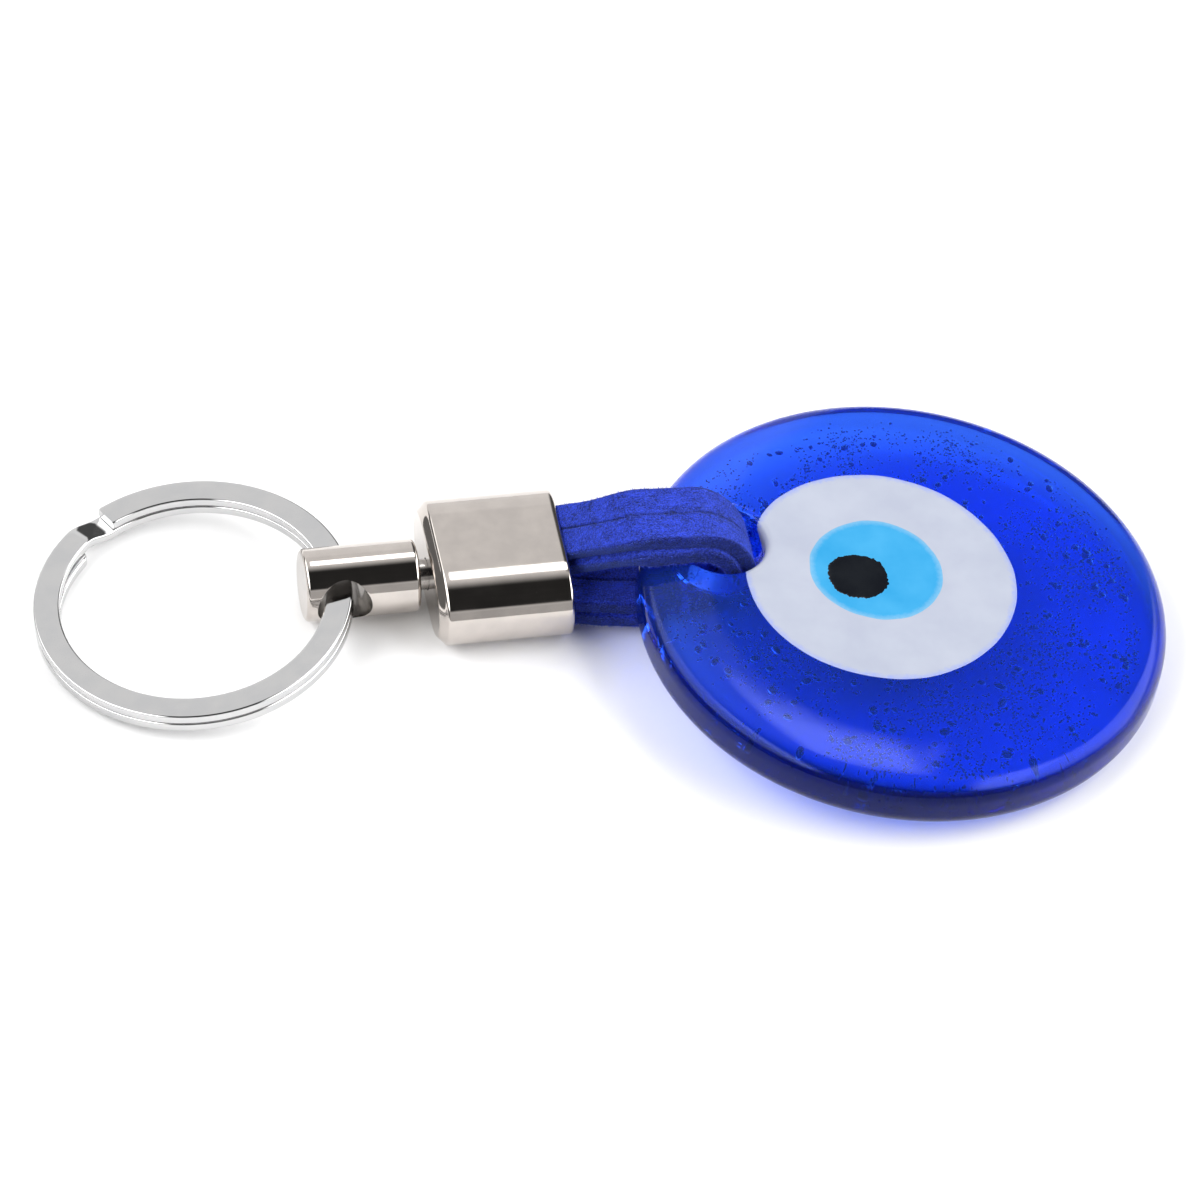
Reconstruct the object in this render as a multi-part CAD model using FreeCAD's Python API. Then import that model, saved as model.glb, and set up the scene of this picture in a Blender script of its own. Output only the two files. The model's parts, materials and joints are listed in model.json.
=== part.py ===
"""Evil eye key ring: split ring, swivel barrel on a rivet, end cap, four suede laces and a glass eye disc.

It lies on a table at z = 0, with +X from the split ring towards the glass disc. Everything is laid out
from the centre of the barrel's cross hole, then moved so that the origin is the middle of the whole
object's box, on the table. Millimetres and degrees.
"""

import FreeCAD
import Part
import math
import os

V = FreeCAD.Vector
AXIS_X = V(1, 0, 0)
AXIS_Y = V(0, 1, 0)
AXIS_Z = V(0, 0, 1)

# ---- split ring: a flat wire wound twice ----
RING_OD = 30.0
WIRE_WIDTH = 2.5
WIRE_THICKNESS = 0.96
RING_THICKNESS = 2.0
WIRE_CHAMFER = 0.16
RING_LEAN = 6.58  # the ring's left side lies on the table and its right side is held up by the barrel
RING_SHIFT = -0.15  # the wire's place in the barrel's cross hole
UPPER_END_ANGLE = 117.5  # where the upper turn's free end is, seen from above
UPPER_TURN = 344.5  # travel of the wire on each level
CRANK_TURN = 14.5  # travel over which the wire steps down from the upper level to the lower
CRANK_SPRING_IN = 0.05
CRANK_SETTLE = 38.0  # travel over which the wire comes back from the crank's inward bend
END_SPRING_IN = 0.45  # how far the lower turn's free end has sprung towards the middle
END_SETTLE = 42.0
END_ROUND = 1.1  # length over which the lower free end is rounded
SECTION_STEP = 6.0

# ---- swivel ----
SWIVEL_Z = 4.0
BARREL_R = 3.45
BARREL_LEFT = -3.56
BARREL_RIGHT = 7.29
BARREL_EDGE = 0.4
CROSS_HOLE_R = 2.6
CROSS_HOLE_EDGE = 0.15
RIVET_R = 1.5
RIVET_LEFT = 3.6
RIVET_HEAD_R = 2.6
RIVET_HEAD_LENGTH = 1.1
RIVET_END_FLOAT = 0.1
RIVET_RUNNING_GAP = 0.06

# ---- end cap, a stadium in section ----
CAP_LEFT = 8.3
CAP_RIGHT = 21.08
CAP_WIDTH = 16.1
CAP_HEIGHT = 2 * SWIVEL_Z
CAP_WALL = 0.8
CAP_END_WALL = 1.1
CAP_SHOULDER = 0.9
CAP_MOUTH_EDGE = 0.2

# ---- what is inside the cap ----
GLUE_LEFT = 11.0
GLUE_RIGHT = 13.6
GLUE_GAP = 0.05

# ---- glass disc ----
DISC_R = 25.1
DISC_THICKNESS = 6.1
RIM_R = 2.1
SHOULDER_R = 30.0
SHOULDER_DROP = 0.6
SHOULDER_ANGLE = math.acos(1 - SHOULDER_DROP / (SHOULDER_R - RIM_R))
DISC_X = 51.51
DISC_Y = -11.37
DISC_LEAN_Y = 5.35  # the strap holds the near side of the disc up
DISC_LEAN_X = 1.17
HOLE_U = -16.35
HOLE_V = 6.95
HOLE_R = 4.1
HOLE_EDGE = 0.4

# ---- fused glass drops: centre on the disc, radius, depth, edge rounding ----
DROPS = (
    ("white_glass", -2.2, 1.55, 12.95, 1.5, 1.1),
    ("light_blue_glass", -2.5, 2.4, 6.55, 0.9, 0.6),
    ("pupil_glass", -4.35, 1.65, 3.0, 0.5, 0.35),
)

# ---- suede laces: two side by side, two deep ----
LACE_THICKNESS = 1.38
LACE_GAP = 0.05
MOUTH_GAP = 3.0  # the loops start this far out of the mouth, so that they can bend up and down
RUN_X = 28.0  # the strap runs level over and under the disc's rim from here to the turn
LOOP_X = 32.2
LOOP_Z = 7.12
LOOP_R = 4.5  # middle of the two layers, where they turn down through the hole
TOP_MOUTH_Z = 5.7
BOTTOM_MOUTH_Z = 2.75
LEG_SECTIONS = 7
RUN_SECTIONS = 3
TURN_SECTIONS = 11
LAST_PLACE = 6
# (place, middle, width) across the strap. Places: 0 top mouth, 1 start of the top run, 2 start of
# the turn, 3 in the hole, 4 end of the turn, 5 end of the bottom run, 6 bottom mouth
BACK_LACE = (
    (0, 3.15, 3.0),
    (1, -1.8, 3.25),
    (2, -2.0, 3.25),
    (3, -3.12, 2.55),
    (4, -2.9, 3.0),
    (5, -1.9, 3.2),
    (6, -0.85, 3.2),
)
FRONT_LACE = (
    (0, 0.0, 3.2),
    (1, -5.05, 3.25),
    (2, -5.3, 3.25),
    (3, -5.74, 2.55),
    (4, -5.95, 3.0),
    (5, -5.15, 3.2),
    (6, -4.15, 3.2),
)
INNER_SHIFT = ((0, -0.9), (1, -0.85), (2, -0.6), (3, 0.0), (4, 0.15), (5, 0.3), (6, 0.3))


def ease(t):
    """0 to 1 with no slope at either end."""
    t = min(max(t, 0.0), 1.0)
    return t * t * (3 - 2 * t)


def settle(t):
    """0 to 1, quick at first and level at the end, as the laces leave the mouth."""
    return (t * (2 - t) + ease(t)) / 2


def rotated(shape, axis, degrees, centre=V(0, 0, 0)):
    turned = shape.copy()
    turned.rotate(centre, axis, degrees)
    return turned


def moved(shape, x, y, z):
    there = shape.copy()
    there.translate(V(x, y, z))
    return there


def closed_wire(points):
    return Part.makePolygon(list(points) + [points[0]])


# ---- split ring ----


def wire_section(radius, angle, z, width):
    """The wire's chamfered rectangle, standing across the wire at an angle round the ring."""
    a = math.radians(angle)
    half_w = width / 2
    half_t = WIRE_THICKNESS / 2
    c = min(WIRE_CHAMFER, half_w * 0.5)
    corners = (
        (-half_w, -half_t + c),
        (-half_w + c, -half_t),
        (half_w - c, -half_t),
        (half_w, -half_t + c),
        (half_w, half_t - c),
        (half_w - c, half_t),
        (-half_w + c, half_t),
        (-half_w, half_t - c),
    )
    return closed_wire(
        [V((radius + r) * math.cos(a), (radius + r) * math.sin(a), z + h) for r, h in corners]
    )


def make_split_ring():
    mean_r = (RING_OD - WIRE_WIDTH) / 2
    level = (RING_THICKNESS - WIRE_THICKNESS) / 2
    travel = 2 * UPPER_TURN + CRANK_TURN
    steps = round(travel / SECTION_STEP)
    stops = [travel * i / steps for i in range(steps)]
    # more sections where the lower turn's free end is rounded
    end_turn = math.degrees(END_ROUND / mean_r)
    stops += [travel - end_turn * left for left in (0.75, 0.5, 0.3, 0.15, 0.05, 0.0)]
    stops = sorted(s for s in stops if s >= travel - end_turn or s < travel - end_turn * 1.2)
    sections = []
    for s in stops:
        down = ease((s - UPPER_TURN) / CRANK_TURN)
        crank_in = CRANK_SPRING_IN * down * (1 - ease((s - UPPER_TURN - CRANK_TURN) / CRANK_SETTLE))
        end_in = END_SPRING_IN * ease((s - travel + END_SETTLE) / END_SETTLE)
        left = min((travel - s) / end_turn, 1.0)
        width = WIRE_WIDTH * math.sqrt(max(1 - (1 - left) ** 2, 0.12))
        radius = mean_r - crank_in - end_in
        sections.append(wire_section(radius, UPPER_END_ANGLE - s, level * (1 - 2 * down), width))
    coil = Part.makeLoft(sections, True, False)
    lean = math.radians(RING_LEAN)
    centre_x = RING_SHIFT - mean_r * math.cos(lean)
    centre_z = RING_OD / 2 * math.sin(lean) + RING_THICKNESS / 2 * math.cos(lean)
    return moved(rotated(coil, AXIS_Y, -RING_LEAN), centre_x, 0, centre_z)


# ---- swivel ----


def x_cylinder(radius, left, right):
    return Part.makeCylinder(radius, right - left, V(left, 0, SWIVEL_Z), AXIS_X)


def end_edges(shape, x):
    """The edges that lie in the plane at x."""
    return [e for e in shape.Edges if abs(e.BoundBox.XMin - x) < 1e-6 and abs(e.BoundBox.XMax - x) < 1e-6]


def make_barrel():
    barrel = x_cylinder(BARREL_R, BARREL_LEFT, BARREL_RIGHT)
    edges = end_edges(barrel, BARREL_LEFT) + end_edges(barrel, BARREL_RIGHT)
    barrel = barrel.makeFillet(BARREL_EDGE, edges)
    reach = BARREL_R + 1
    hole = Part.makeCylinder(CROSS_HOLE_R, 2 * reach, V(0, -reach, SWIVEL_Z), AXIS_Y)
    barrel = barrel.cut(hole)

    def on_mouth(edge):
        ends = [edge.valueAt(t) for t in (edge.FirstParameter, edge.LastParameter)]
        return all(abs(math.hypot(p.x, p.z - SWIVEL_Z) - CROSS_HOLE_R) < 1e-4 for p in ends)

    edges = [e for e in barrel.Edges if on_mouth(e) and e.BoundBox.XLength > 1]
    barrel = barrel.makeFillet(CROSS_HOLE_EDGE, edges)
    return barrel.cut(x_cylinder(RIVET_R, RIVET_LEFT, BARREL_RIGHT))


def make_rivet():
    head_left = CAP_LEFT + CAP_END_WALL + RIVET_END_FLOAT
    head_right = head_left + RIVET_HEAD_LENGTH
    shank = x_cylinder(RIVET_R, RIVET_LEFT, head_left)
    head = x_cylinder(RIVET_HEAD_R, head_left, head_right)
    head = head.makeFillet(RIVET_HEAD_LENGTH * 0.7, end_edges(head, head_right))
    return shank.fuse(head).removeSplitter()


# ---- end cap and what it holds ----


def stadium(width, height, left, right):
    """A bar along X whose section is a rectangle with round sides."""
    r = height / 2
    flat = width / 2 - r
    low_front = V(left, -flat, SWIVEL_Z - r)
    low_back = V(left, flat, SWIVEL_Z - r)
    top_back = V(left, flat, SWIVEL_Z + r)
    top_front = V(left, -flat, SWIVEL_Z + r)
    edges = [
        Part.LineSegment(low_front, low_back).toShape(),
        Part.Arc(low_back, V(left, width / 2, SWIVEL_Z), top_back).toShape(),
        Part.LineSegment(top_back, top_front).toShape(),
        Part.Arc(top_front, V(left, -width / 2, SWIVEL_Z), low_front).toShape(),
    ]
    return Part.Face(Part.Wire(edges)).extrude(V(right - left, 0, 0))


def make_end_cap():
    shell = stadium(CAP_WIDTH, CAP_HEIGHT, CAP_LEFT, CAP_RIGHT)
    shell = shell.makeChamfer(CAP_SHOULDER, end_edges(shell, CAP_LEFT))
    cavity = stadium(
        CAP_WIDTH - 2 * CAP_WALL, CAP_HEIGHT - 2 * CAP_WALL, CAP_LEFT + CAP_END_WALL, CAP_RIGHT
    )
    shell = shell.cut(cavity)
    shell = shell.makeFillet(CAP_MOUTH_EDGE, end_edges(shell, CAP_RIGHT))
    return shell.cut(x_cylinder(RIVET_R + RIVET_RUNNING_GAP, CAP_LEFT - 1, CAP_LEFT + CAP_END_WALL + 1))


def make_glue_plug():
    trim = 2 * (CAP_WALL + GLUE_GAP)
    return stadium(CAP_WIDTH - trim, CAP_HEIGHT - trim, GLUE_LEFT, GLUE_RIGHT)


# ---- glass ----


def revolve_z(edges):
    face = Part.Face(Part.Wire(edges))
    return face.revolve(V(0, 0, 0), AXIS_Z, 360)


def disc_body():
    """Flat underside, round rim, and a top that domes gently down to the rim."""
    top = DISC_THICKNESS / 2
    rim_x = DISC_R - RIM_R
    low_rim = V(rim_x, 0, RIM_R - top)
    high_rim = V(rim_x, 0, top - SHOULDER_DROP - RIM_R)
    flat_r = rim_x - (SHOULDER_R - RIM_R) * math.sin(SHOULDER_ANGLE)
    shoulder = V(flat_r, 0, top - SHOULDER_R)

    def on_arc(centre, radius, from_vertical):
        return centre + V(radius * math.sin(from_vertical), 0, radius * math.cos(from_vertical))

    quarter = math.pi / 2
    low_middle = V(0, 0, -top)
    top_middle = V(0, 0, top)
    under = on_arc(low_rim, RIM_R, 2 * quarter)
    low_side = on_arc(low_rim, RIM_R, quarter)
    high_side = on_arc(high_rim, RIM_R, quarter)
    join = on_arc(high_rim, RIM_R, SHOULDER_ANGLE)
    flat_edge = on_arc(shoulder, SHOULDER_R, 0)
    return revolve_z(
        [
            Part.LineSegment(low_middle, under).toShape(),
            Part.Arc(under, on_arc(low_rim, RIM_R, 1.5 * quarter), low_side).toShape(),
            Part.LineSegment(low_side, high_side).toShape(),
            Part.Arc(high_side, on_arc(high_rim, RIM_R, quarter / 2), join).toShape(),
            Part.Arc(join, on_arc(shoulder, SHOULDER_R, SHOULDER_ANGLE / 2), flat_edge).toShape(),
            Part.LineSegment(flat_edge, top_middle).toShape(),
            Part.LineSegment(top_middle, low_middle).toShape(),
        ]
    )


def drill_disc(disc):
    hole = Part.makeCylinder(HOLE_R, 2 * DISC_THICKNESS, V(HOLE_U, HOLE_V, -DISC_THICKNESS), AXIS_Z)
    disc = disc.cut(hole)

    def on_hole(edge):
        middle = edge.valueAt((edge.FirstParameter + edge.LastParameter) / 2)
        on_wall = abs(math.hypot(middle.x - HOLE_U, middle.y - HOLE_V) - HOLE_R) < 1e-4
        return on_wall and edge.BoundBox.ZLength < 1.5

    return disc.makeFillet(HOLE_EDGE, [e for e in disc.Edges if on_hole(e)])


def drop_body(u, v, radius, depth, edge):
    """A flattened drop of glass: round edges below, cut off flush by the disc's own top."""
    top = DISC_THICKNESS / 2
    above = 0.5
    low = V(0, 0, top - depth)
    low_out = V(radius - edge, 0, top - depth)
    half_way = math.sqrt(0.5)
    bend = V(radius - edge + edge * half_way, 0, top - depth + edge - edge * half_way)
    side = V(radius, 0, top - depth + edge)
    side_top = V(radius, 0, top + above)
    drop = revolve_z(
        [
            Part.LineSegment(low, low_out).toShape(),
            Part.Arc(low_out, bend, side).toShape(),
            Part.LineSegment(side, side_top).toShape(),
            Part.LineSegment(side_top, V(0, 0, top + above)).toShape(),
            Part.LineSegment(V(0, 0, top + above), low).toShape(),
        ]
    )
    return moved(drop, u, v, 0)


def disc_height():
    """The middle of the leaning disc, above the table that its lowest rim touches."""
    lean_x = math.radians(DISC_LEAN_X)
    lean_y = math.radians(DISC_LEAN_Y)
    upright = math.cos(lean_x) * math.cos(lean_y)
    slope = math.sqrt(1 - upright**2)
    return (DISC_R - RIM_R) * slope + (DISC_THICKNESS / 2 - RIM_R) * upright + RIM_R


def lay_disc(shape):
    leaning = rotated(rotated(shape, AXIS_Y, DISC_LEAN_Y), AXIS_X, DISC_LEAN_X)
    return moved(leaning, DISC_X, DISC_Y, disc_height())


def make_glass():
    """The disc and its drops, each let into the one before."""
    body = drill_disc(disc_body())
    name = "glass_disc"
    pieces = {}
    for drop_name, *size in DROPS:
        drop = drop_body(*size)
        pieces[name] = body.cut(drop)
        body = body.common(drop)
        name = drop_name
    pieces[name] = body
    return {name: lay_disc(shape) for name, shape in pieces.items()}


# ---- suede laces ----


def read_off(table, place, column=1):
    """A value from a table of (place, value, ...) rows, with a smooth curve between the rows."""
    for low, high in zip(table, table[1:]):
        if place <= high[0]:
            t = (place - low[0]) / (high[0] - low[0])
            if low[0] == 0:
                t = settle(t)
            elif high[0] == LAST_PLACE:
                t = 1 - settle(1 - t)
            else:
                t = ease(t)
            return low[column] + (high[column] - low[column]) * t


def strap_side_view(place):
    """Middle of the strap seen from the side, and its outward direction, at a place from 0 to 6."""
    if 2 <= place <= 4:
        a = math.pi / 2 * (3 - place)
        outward = V(math.cos(a), 0, math.sin(a))
        return V(LOOP_X, 0, LOOP_Z) + outward * LOOP_R, outward
    side = 1 if place < 3 else -1
    from_mouth = place if place < 3 else LAST_PLACE - place
    run_z = LOOP_Z + side * LOOP_R
    if from_mouth >= 1:
        return V(RUN_X + (LOOP_X - RUN_X) * (from_mouth - 1), 0, run_z), V(0, 0, side)
    mouth_z = TOP_MOUTH_Z if side > 0 else BOTTOM_MOUTH_Z
    length = RUN_X - CAP_RIGHT
    t = from_mouth
    slope = (run_z - mouth_z) * (1 - t) * (1 + 3 * t) / length
    middle = V(CAP_RIGHT + length * t, 0, mouth_z + (run_z - mouth_z) * settle(t))
    return middle, V(-slope * side, 0, side).normalize()


def lace_section(lace, place, layer):
    """The lace's rectangle at a place along the strap. Layer is 1 for outer and -1 for inner."""
    middle, outward = strap_side_view(place)
    middle += outward * (layer * (LACE_THICKNESS + LACE_GAP) / 2)
    y = read_off(lace, place)
    if layer < 0:
        y += read_off(INNER_SHIFT, place)
    half_w = read_off(lace, place, 2) / 2
    half_t = outward * (LACE_THICKNESS / 2)
    across = V(0, half_w, 0)
    middle.y = y
    inside = middle - half_t
    outside = middle + half_t
    return closed_wire([inside - across, inside + across, outside + across, outside - across])


def make_lace(lace, layer):
    start = MOUTH_GAP / (RUN_X - CAP_RIGHT)
    leg = [start + (1 - start) * i / LEG_SECTIONS for i in range(LEG_SECTIONS)]
    run = [1 + i / RUN_SECTIONS for i in range(RUN_SECTIONS)]
    turn = [2 + 2 * i / (TURN_SECTIONS - 1) for i in range(TURN_SECTIONS)]
    places = leg + run + turn + [LAST_PLACE - place for place in reversed(leg + run)]
    return Part.makeLoft([lace_section(lace, place, layer) for place in places], True, False)


def make_lace_ends():
    """The eight ends inside the cap, from the glue to the mouth."""
    ends = []
    length = CAP_RIGHT - GLUE_RIGHT
    half_pitch = (LACE_THICKNESS + LACE_GAP) / 2
    for lace in (BACK_LACE, FRONT_LACE):
        for layer in (1, -1):
            for place, mouth_z, side in ((0, TOP_MOUTH_Z, 1), (LAST_PLACE, BOTTOM_MOUTH_Z, -1)):
                y = read_off(lace, place)
                if layer < 0:
                    y += read_off(INNER_SHIFT, place)
                width = read_off(lace, place, 2)
                z = mouth_z + side * layer * half_pitch - LACE_THICKNESS / 2
                ends.append(Part.makeBox(length, width, LACE_THICKNESS, V(GLUE_RIGHT, y - width / 2, z)))
    return Part.makeCompound(ends)


def build():
    pieces = {
        "split_ring": make_split_ring(),
        "swivel_barrel": make_barrel(),
        "swivel_rivet": make_rivet(),
        "end_cap": make_end_cap(),
        "glue_plug": make_glue_plug(),
        "lace_ends": make_lace_ends(),
    }
    for name, lace in (("back", BACK_LACE), ("front", FRONT_LACE)):
        pieces["outer_lace_" + name] = make_lace(lace, 1)
        pieces["inner_lace_" + name] = make_lace(lace, -1)
    pieces.update(make_glass())
    box = Part.makeCompound(list(pieces.values())).optimalBoundingBox()
    shift = (-box.Center.x, -box.Center.y, 0)
    print("cross hole centre", [round(v, 3) for v in (shift[0], shift[1], SWIVEL_Z)])
    print("box", [round(v, 3) for v in (box.XLength, box.YLength, box.ZLength)])
    print("lowest", round(box.ZMin, 4))
    return {name: moved(shape, *shift) for name, shape in pieces.items()}


os.makedirs("parts", exist_ok=True)
for node, solid in build().items():
    print(node, "valid" if solid.isValid() else "INVALID", round(solid.Volume, 2), "mm3")
    solid.exportStep("parts/" + node + ".step")
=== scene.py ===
import json
import math
import random
import bmesh
import bpy
from mathutils import Matrix, Vector, noise


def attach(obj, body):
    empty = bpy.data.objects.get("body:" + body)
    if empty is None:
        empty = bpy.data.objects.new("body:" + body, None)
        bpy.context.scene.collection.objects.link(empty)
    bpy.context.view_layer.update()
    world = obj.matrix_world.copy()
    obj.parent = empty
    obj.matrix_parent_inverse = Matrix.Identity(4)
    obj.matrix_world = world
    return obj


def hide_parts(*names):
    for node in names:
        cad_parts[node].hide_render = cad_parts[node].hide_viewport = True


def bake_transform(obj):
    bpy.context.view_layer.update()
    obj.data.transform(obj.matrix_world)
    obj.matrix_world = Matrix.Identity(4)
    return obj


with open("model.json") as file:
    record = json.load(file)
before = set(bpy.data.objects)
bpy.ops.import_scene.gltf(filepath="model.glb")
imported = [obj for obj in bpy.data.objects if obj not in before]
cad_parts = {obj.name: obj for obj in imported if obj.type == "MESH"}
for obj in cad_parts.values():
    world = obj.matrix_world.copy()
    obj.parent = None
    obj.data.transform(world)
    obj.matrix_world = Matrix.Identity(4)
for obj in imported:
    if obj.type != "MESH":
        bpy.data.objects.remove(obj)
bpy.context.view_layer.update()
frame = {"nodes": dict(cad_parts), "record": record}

# Everything is laid out in millimetres from the middle of the barrel's cross hole, on the table.
MM = 0.001
JOINTS = {joint["name"]: joint for joint in frame["record"]["behaviour"]["joints"]}
SWIVEL_Z = 4.0
SWIVEL_JOINT_X = 7.8
swivel_joint = Vector(JOINTS["barrel_swivel"]["pos_m"]) / MM
ORIGIN = swivel_joint - Vector((SWIVEL_JOINT_X, 0.0, SWIVEL_Z))

# camera: the point it looks at, its direction from there, and its lens
TARGET = Vector((24.786, -1.705, 0.0))
AZIMUTH = math.radians(-13.392)
ELEVATION = math.radians(46.514)
ROLL = math.radians(4.436)
DISTANCE = 1500.0
LENS = 478.1

# ring
RING_MEAN_R = 13.75
WIRE_WIDTH = 2.5
WIRE_THICKNESS = 0.96
WIRE_EDGE = 0.2
RING_THICKNESS = 2.0
RING_LEAN = math.radians(6.58)
RING_SHIFT = -0.15
UPPER_END_ANGLE = 117.5
UPPER_TURN = 344.5
CRANK_TURN = 14.5
CRANK_SPRING_IN = 0.05
CRANK_SETTLE = 38.0
END_SPRING_IN = 0.45
END_SETTLE = 42.0
END_ROUND = 1.1
RING_STATIONS = 560

# swivel and cap
BARREL_R = 3.45
BARREL_LEFT = -3.56
BARREL_RIGHT = 7.29
BARREL_EDGE = 0.4
BARREL_STATIONS = 44
CROSS_HOLE_R = 2.6
CROSS_HOLE_EDGE = 0.17
RIVET_R = 1.5
RIVET_START = 3.62
RIVET_BORE_END = 3.65
CAP_LEFT = 8.3
CAP_RIGHT = 21.08
CAP_WIDTH = 16.1
CAP_HEIGHT = 8.0
CAP_WALL = 0.8
CAP_END_WALL = 1.1
CAP_SHOULDER = 0.9
CAP_SOFTNESS = 2.6  # how gradually the cap's flat faces turn into its round sides, in mm of extra radius
GLUE_RIGHT = 13.6

# disc
DISC_R = 25.1
DISC_TOP = 3.05
RIM_R = 2.1
SHOULDER_R = 30.0
SHOULDER_DROP = 0.6
SHOULDER_ANGLE = math.acos(1 - SHOULDER_DROP / (SHOULDER_R - RIM_R))
DISC_X = 51.51
DISC_Y = -11.37
DISC_LEAN_Y = math.radians(5.35)
DISC_LEAN_X = math.radians(1.17)
HOLE = Vector((-16.35, 6.95))
HOLE_R = 4.1
HOLE_EDGE = 0.75
MOUTH_R = HOLE_R + HOLE_EDGE
WHITE_MIDDLE = Vector((-2.2, 1.55))
DROP_COLS = 240
# (smallest radius, largest radius, count)
BUBBLE_SIZES = ((0.38, 0.56, 30), (0.2, 0.4, 190), (0.12, 0.19, 900), (0.07, 0.12, 5200))

# laces
LACE_THICKNESS = 1.38
LACE_GAP = 0.05
LACE_EDGE = 0.24
RUN_X = 28.0
LOOP_X = 32.45
LOOP_Z = 7.12
LOOP_R = 4.5
TOP_MOUTH_Z = 5.7
BOTTOM_MOUTH_Z = 2.75
LAST_PLACE = 6.0
# Along each lace: (place, y of its middle, width). Places 0 and 6 are at the cap's mouth, above and below, and
# 3 is in the hole.
BACK_LACE = (
    (0, 3.15, 3.0), (1, -1.8, 3.25), (2, -2.0, 3.25), (3, -3.12, 2.55), (4, -2.9, 3.0), (5, -1.9, 3.2), (6, -0.85, 3.2),
)
FRONT_LACE = (
    (0, 0.0, 3.2), (1, -5.05, 3.25), (2, -5.3, 3.25), (3, -5.74, 2.55), (4, -5.95, 3.0), (5, -5.15, 3.2), (6, -4.15, 3.2),
)
INNER_SHIFT = ((0, -0.9), (1, -0.85), (2, -0.6), (3, 0.0), (4, 0.15), (5, 0.3), (6, 0.3))
ROWS_IN_CAP = 14
FIBRES_PER_LACE = 8500

# studio: how bright each part of its walls is
LOW_BACK_LEVEL = 1.1
BACK_LEVEL = 1.0
RIGHT_BACK_LEVEL = 0.10
BOX_LEVEL = 7.5
CEILING_LEVEL = 0.03
FRONT_LEVEL = 0.6
SIDE_LEVEL = 3.9
SIDE_EDGE_LEVEL = 0.7
HIGH_LEVEL = 6.2
LOW_LEFT_LEVEL = 0.2
FLOOR_HALF = 1.6


def ease(t):
    t = min(max(t, 0.0), 1.0)
    return t * t * (3 - 2 * t)


def settle(t):
    return (t * (2 - t) + ease(t)) / 2


# ---- mesh building ----


def add_mesh(name, points, faces, material, body):
    """A mesh from points in millimetres, with its place in its vertices."""
    mesh = bpy.data.meshes.new(name)
    mesh.from_pydata([tuple((Vector(p) + ORIGIN) * MM) for p in points], [], faces)
    mesh.validate()
    mesh.polygons.foreach_set("use_smooth", [True] * len(mesh.polygons))
    mesh.update()
    obj = bpy.data.objects.new(name, mesh)
    bpy.context.collection.objects.link(obj)
    mesh.materials.append(material)
    if body:
        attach(obj, body)
    return obj


def grid_faces(rows, cols, close_rows=False):
    """Quads over rows of points, where each row is a closed loop."""
    faces = []
    for i in range(rows if close_rows else rows - 1):
        here = i * cols
        there = (i + 1) % rows * cols
        for j in range(cols):
            k = (j + 1) % cols
            faces.append((here + j, here + k, there + k, there + j))
    return faces


def fan(first, cols, middle):
    return [(first + j, first + (j + 1) % cols, middle) for j in range(cols)]


def close_ends(points, faces, rows, cols):
    """Closes the first and last rows, each with a fan round a new point in its middle."""
    for first in (0, (rows - 1) * cols):
        points.append(sum((points[first + j] for j in range(cols)), Vector()) / cols)
        faces += fan(first, cols, len(points) - 1)


def face_outwards(obj, weld=False):
    work = bmesh.new()
    work.from_mesh(obj.data)
    if weld:
        bmesh.ops.remove_doubles(work, verts=work.verts, dist=1e-7)
    bmesh.ops.recalc_face_normals(work, faces=work.faces)
    work.to_mesh(obj.data)
    work.free()


def set_float(obj, name, values):
    obj.data.attributes.new(name, "FLOAT", "POINT").data.foreach_set("value", values)


def round_box(half_w, half_h, r, flats):
    """A rounded rectangle, anticlockwise, with extra points along its long sides."""
    outline = []
    corner_steps = 4
    corners = (
        (half_w - r, half_h - r, 0),
        (r - half_w, half_h - r, 90),
        (r - half_w, r - half_h, 180),
        (half_w - r, r - half_h, 270),
    )
    for cx, cy, start in corners:
        for k in range(corner_steps + 1):
            a = math.radians(start + 90 * k / corner_steps)
            outline.append((cx + r * math.cos(a), cy + r * math.sin(a)))
        if start in (0, 180):
            span = 2 * (half_w - r)
            side = 1 if start == 0 else -1
            for k in range(1, flats):
                outline.append((side * (half_w - r - span * k / flats), side * half_h))
    return outline


# ---- materials ----


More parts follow.
